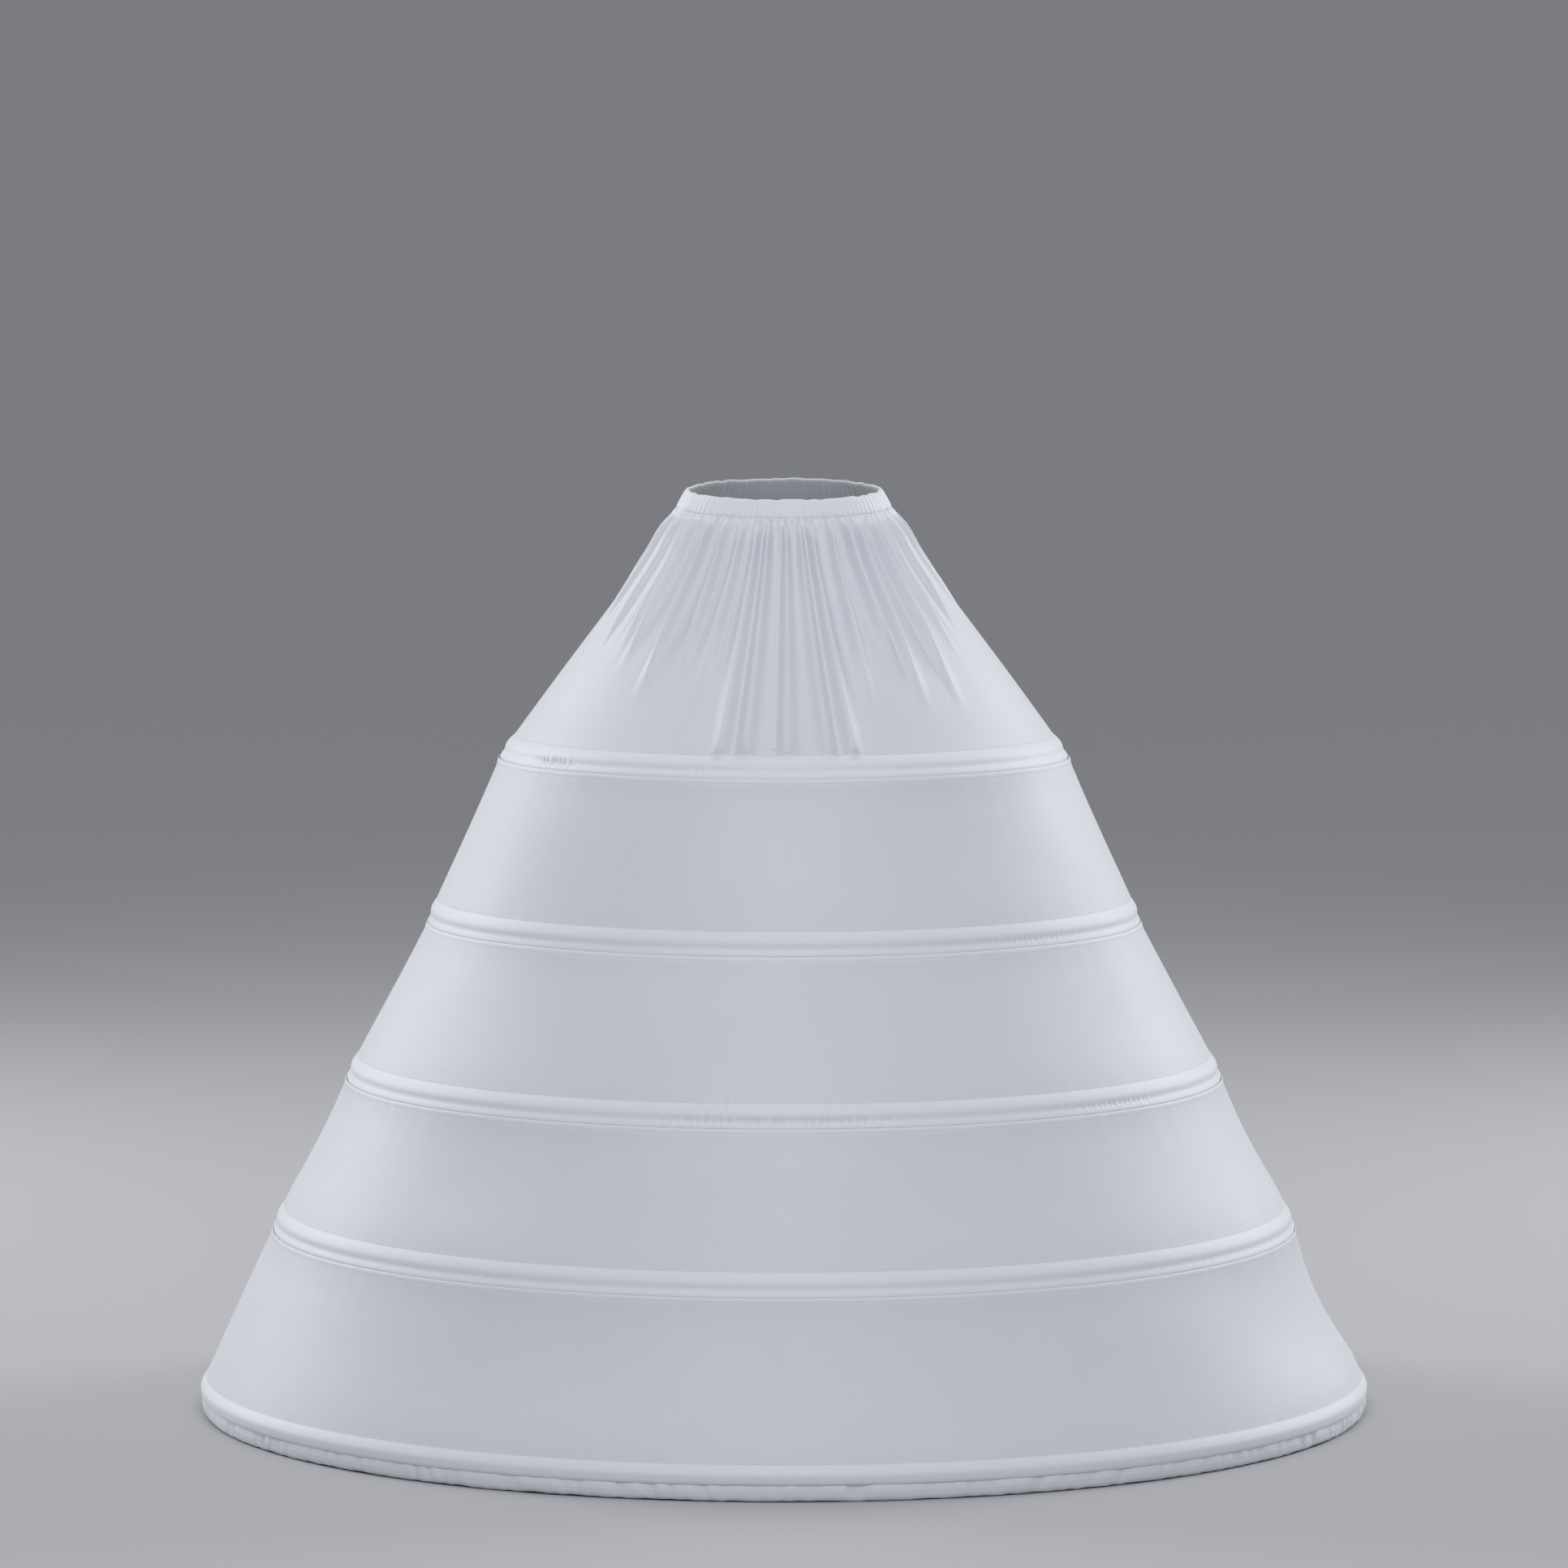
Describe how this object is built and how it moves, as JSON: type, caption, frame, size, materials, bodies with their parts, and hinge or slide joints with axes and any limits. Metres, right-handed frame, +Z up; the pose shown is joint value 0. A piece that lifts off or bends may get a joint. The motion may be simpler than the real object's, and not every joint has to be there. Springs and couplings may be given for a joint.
{
  "type": "hoop petticoat",
  "caption": "White floor-length hoop petticoat: flared cloth tiers over sprung hoops sewn in casings, a gathered top panel and an elastic waistband.",
  "frame": {"origin": "middle of the hem, at floor level", "axes": "+Z up through the waist opening, -Y to the wearer's front, +X to the right seen from the front"},
  "size_m": [1.4372, 1.4372, 1.142],
  "materials": {
    "cloth": "smooth woven, slight sheen",
    "casing_tape": "woven tape",
    "elastic": "woven elastic",
    "hoop_band": "satin",
    "joiner_sleeve": "satin"
  },
  "bodies": {
    "root": {"top_panel": "cloth", "tier_2": "cloth", "tier_3": "cloth", "tier_4": "cloth", "hem_tier": "cloth", "waistband": "cloth", "hoop_casing_1": "casing_tape", "hoop_casing_2": "casing_tape", "hoop_casing_3": "casing_tape", "hoop_casing_4": "casing_tape", "hoop_casing_5": "casing_tape", "hoop_1": "hoop_band", "hoop_2": "hoop_band", "hoop_3": "hoop_band", "hoop_4": "hoop_band", "hoop_5": "hoop_band", "hoop_joiner_1": "joiner_sleeve", "hoop_joiner_2": "joiner_sleeve", "hoop_joiner_3": "joiner_sleeve", "hoop_joiner_4": "joiner_sleeve", "hoop_joiner_5": "joiner_sleeve", "waist_elastic": "elastic"}
  },
  "joints": []
}
